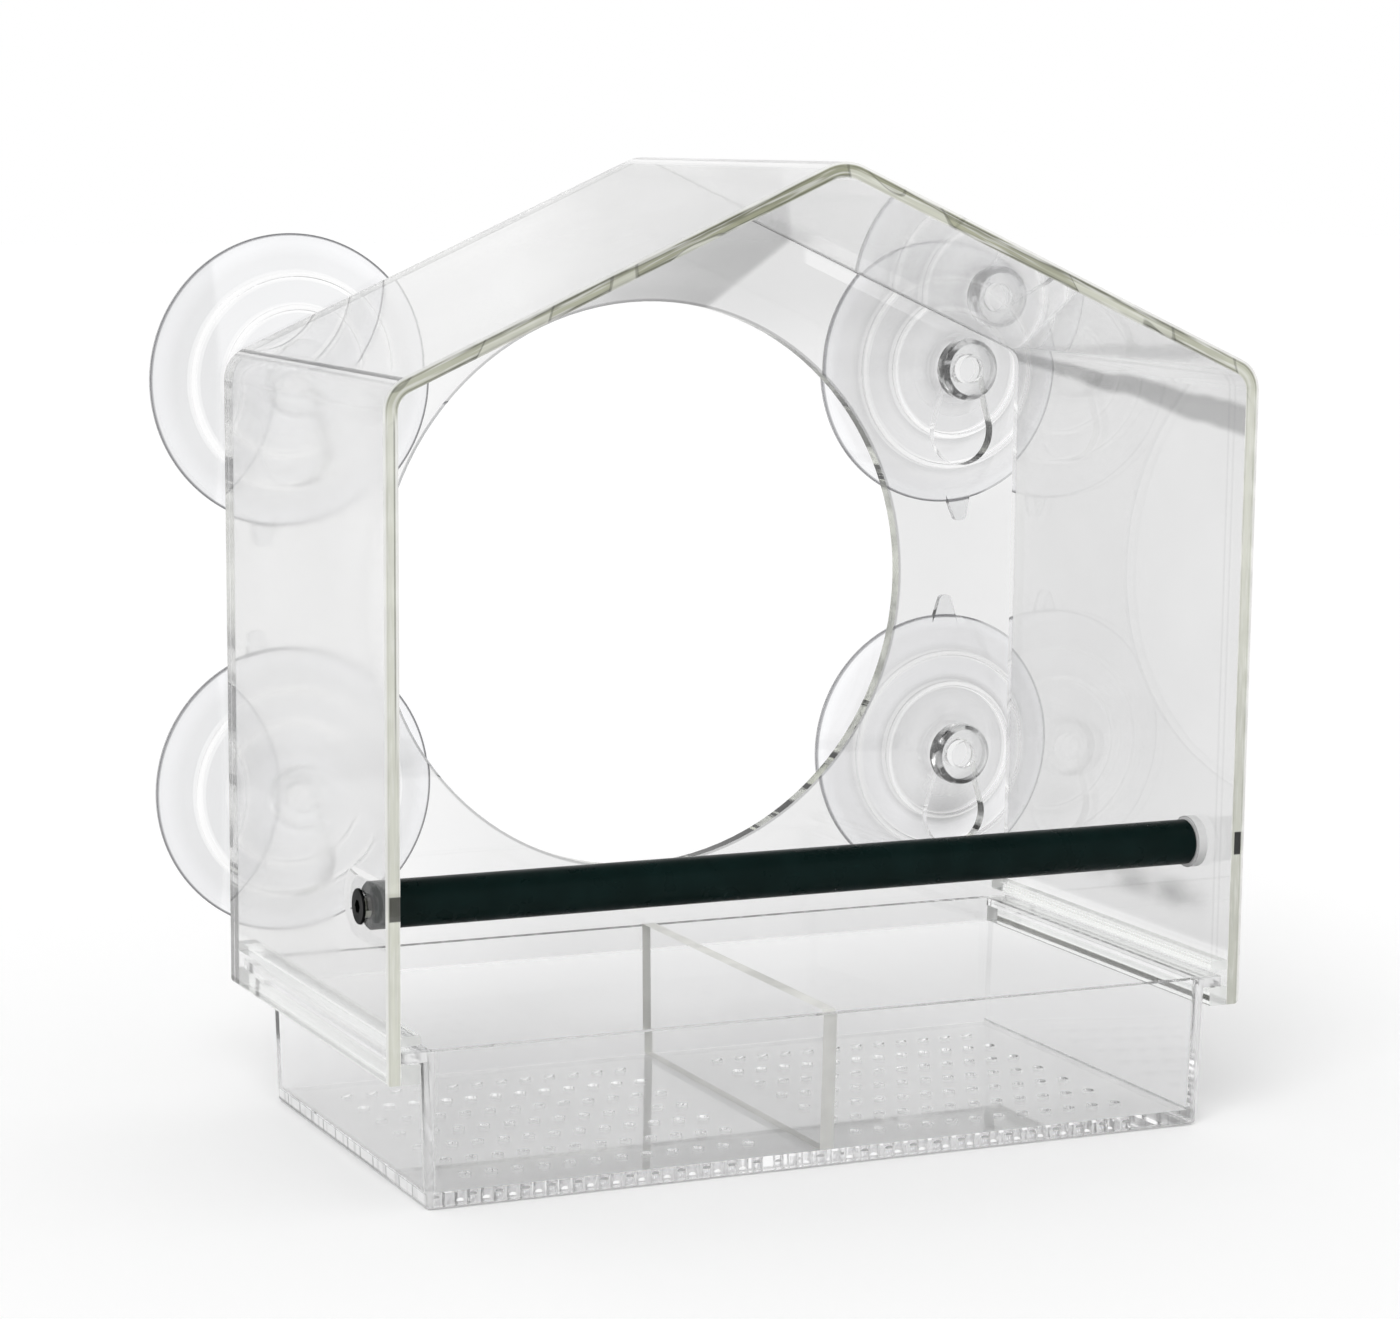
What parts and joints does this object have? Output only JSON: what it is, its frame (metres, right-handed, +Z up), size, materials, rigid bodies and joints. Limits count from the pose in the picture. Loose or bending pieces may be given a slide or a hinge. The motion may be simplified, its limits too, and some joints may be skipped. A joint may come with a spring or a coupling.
{
  "type": "window bird feeder",
  "caption": "Clear house-shaped bird feeder that sticks to a window pane with suction cups, with a round viewing hole, a perch rod and a slide-out divided seed tray with drain holes.",
  "frame": {"origin": "under the middle of the whole outline, level with the tray's underside", "axes": "+Z up, the open front looks along -Y, the window pane is a plane across Y at the suction cups' rims on the +Y side, +X to the right seen from the front"},
  "size_m": [0.2176, 0.106, 0.2],
  "materials": {
    "clear_sheet": "polished clear acrylic",
    "clear_panel": "polished clear acrylic",
    "clear_rail": "polished clear acrylic",
    "clear_tray": "clear moulded plastic",
    "clear_divider": "clear plastic plate",
    "dark_rod": "glossy green-black",
    "dark_screw": "satin black",
    "clear_washer": "clear",
    "soft_cup": "clear soft plastic"
  },
  "bodies": {
    "house": {"house_shell": "clear_sheet", "back_panel": "clear_panel", "left_lower_rail": "clear_rail", "right_lower_rail": "clear_rail", "left_upper_rail": "clear_rail", "right_upper_rail": "clear_rail", "perch_rod": "dark_rod", "perch_screw": "dark_screw", "right_perch_washer": "clear_washer"},
    "tray": {"seed_tray": "clear_tray", "tray_divider": "clear_divider"},
    "top_left_cup_body": {"top_left_cup": "soft_cup"},
    "top_right_cup_body": {"top_right_cup": "soft_cup"},
    "bottom_left_cup_body": {"bottom_left_cup": "soft_cup"},
    "bottom_right_cup_body": {"bottom_right_cup": "soft_cup"}
  },
  "joints": [
    {"name": "tray_slide", "type": "slide", "parent": "house", "child": "tray", "axis": [0, -1, 0], "range_m": [0, 0.0945]},
    {"name": "top_left_cup_slide", "type": "slide", "parent": "house", "child": "top_left_cup_body", "axis": [0, 0, -1], "range_m": [0, 0.0142]},
    {"name": "top_right_cup_slide", "type": "slide", "parent": "house", "child": "top_right_cup_body", "axis": [0, 0, -1], "range_m": [0, 0.0142]},
    {"name": "bottom_left_cup_slide", "type": "slide", "parent": "house", "child": "bottom_left_cup_body", "axis": [0, 0, -1], "range_m": [0, 0.0142]},
    {"name": "bottom_right_cup_slide", "type": "slide", "parent": "house", "child": "bottom_right_cup_body", "axis": [0, 0, -1], "range_m": [0, 0.0142]}
  ]
}
